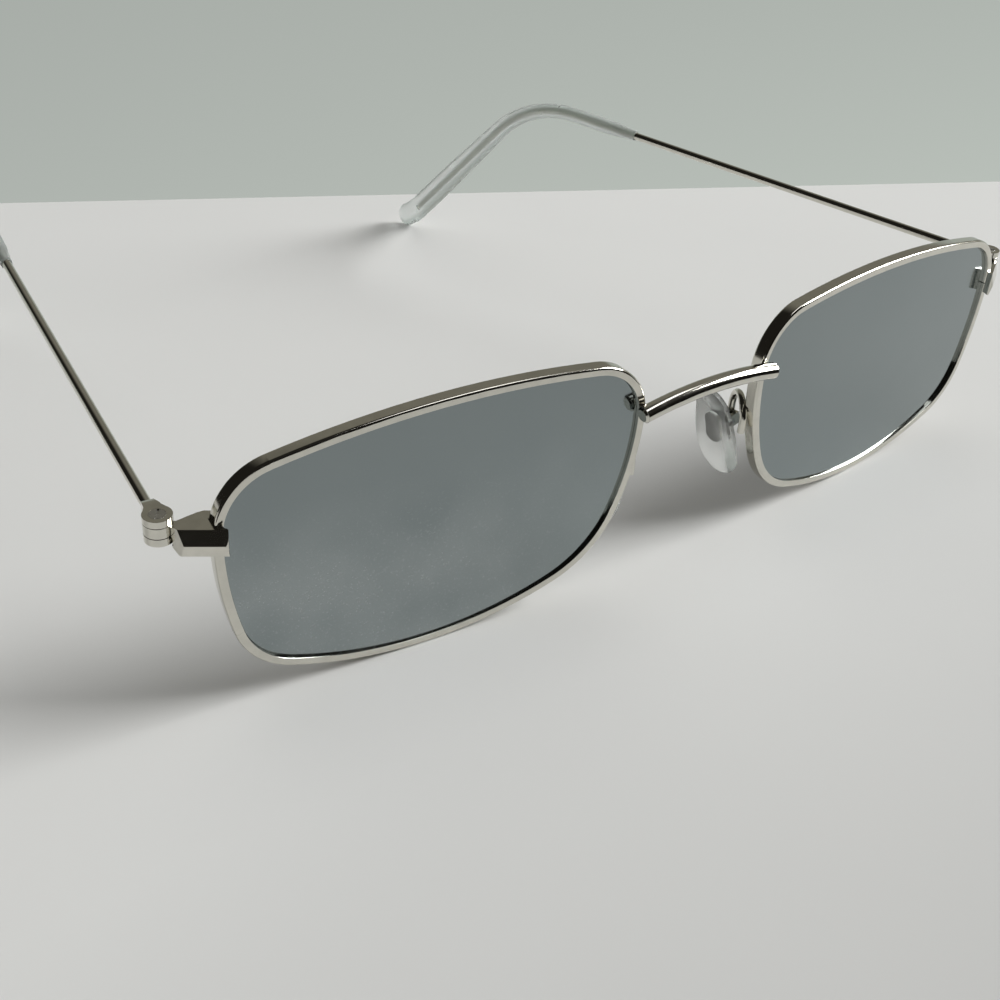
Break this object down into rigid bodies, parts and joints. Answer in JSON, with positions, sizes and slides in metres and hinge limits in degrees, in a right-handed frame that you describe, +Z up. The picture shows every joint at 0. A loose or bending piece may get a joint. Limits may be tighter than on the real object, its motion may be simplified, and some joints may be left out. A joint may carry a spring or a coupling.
{
  "type": "mirrored sunglasses",
  "caption": "Metal wire-frame sunglasses with mirrored rounded-rectangle lenses, bar bridge, rocking nose pads and folding wire temples with clear sleeves.",
  "frame": {"origin": "on the table the glasses stand on, at the centre of the bounding box", "axes": "+X towards the wearer's left, +Y back along the temples, +Z up from the table"},
  "size_m": [0.1416, 0.1402, 0.0346],
  "materials": {
    "frame_metal": "polished nickel-silver",
    "arm_metal": "polished wire",
    "screw_metal": "bright machined steel",
    "lens_mirror": "grey-green mirror coat",
    "clear_sleeve": "clear",
    "clear_pad": "clear, slightly clouded",
    "insert_metal": "dull metal"
  },
  "bodies": {
    "front": {"rim_left": "frame_metal", "rim_right": "frame_metal", "lens_left": "lens_mirror", "lens_right": "lens_mirror", "bridge": "frame_metal", "end_piece_left": "frame_metal", "end_piece_right": "frame_metal", "rim_lock_left": "frame_metal", "rim_lock_right": "frame_metal", "lock_screw_left": "screw_metal", "lock_screw_right": "screw_metal", "hinge_front_left": "frame_metal", "hinge_front_right": "frame_metal", "pad_arm_left": "arm_metal", "pad_arm_right": "arm_metal", "pad_box_left": "arm_metal", "pad_box_right": "arm_metal", "pad_screw_left": "screw_metal", "pad_screw_right": "screw_metal"},
    "temple_left": {"hinge_temple_left": "frame_metal", "hinge_screw_left": "screw_metal", "temple_left": "frame_metal", "temple_sleeve_left": "clear_sleeve"},
    "temple_right": {"hinge_temple_right": "frame_metal", "hinge_screw_right": "screw_metal", "temple_right": "frame_metal", "temple_sleeve_right": "clear_sleeve"},
    "pad_left": {"nose_pad_left": "clear_pad", "pad_insert_left": "insert_metal"},
    "pad_right": {"nose_pad_right": "clear_pad", "pad_insert_right": "insert_metal"}
  },
  "joints": [
    {"name": "temple_left_hinge", "type": "hinge", "parent": "front", "child": "temple_left", "pos_m": [0.0691, -0.05801, 0.02519], "axis": [0, -0.0839, 0.9965], "range_deg": [-11.5, 66]},
    {"name": "temple_right_hinge", "type": "hinge", "parent": "front", "child": "temple_right", "pos_m": [-0.0691, -0.05801, 0.02519], "axis": [0, 0.0839, -0.9965], "range_deg": [-4.5, 80]},
    {"name": "pad_left_rock", "type": "hinge", "parent": "front", "child": "pad_left", "pos_m": [0.01161, -0.06117, 0.0156], "axis": [0.0459, -0.9988, 0.0181], "range_deg": [-8, 8]},
    {"name": "pad_right_rock", "type": "hinge", "parent": "front", "child": "pad_right", "pos_m": [-0.01161, -0.06117, 0.0156], "axis": [-0.0459, -0.9988, 0.0181], "range_deg": [-8, 8]}
  ]
}
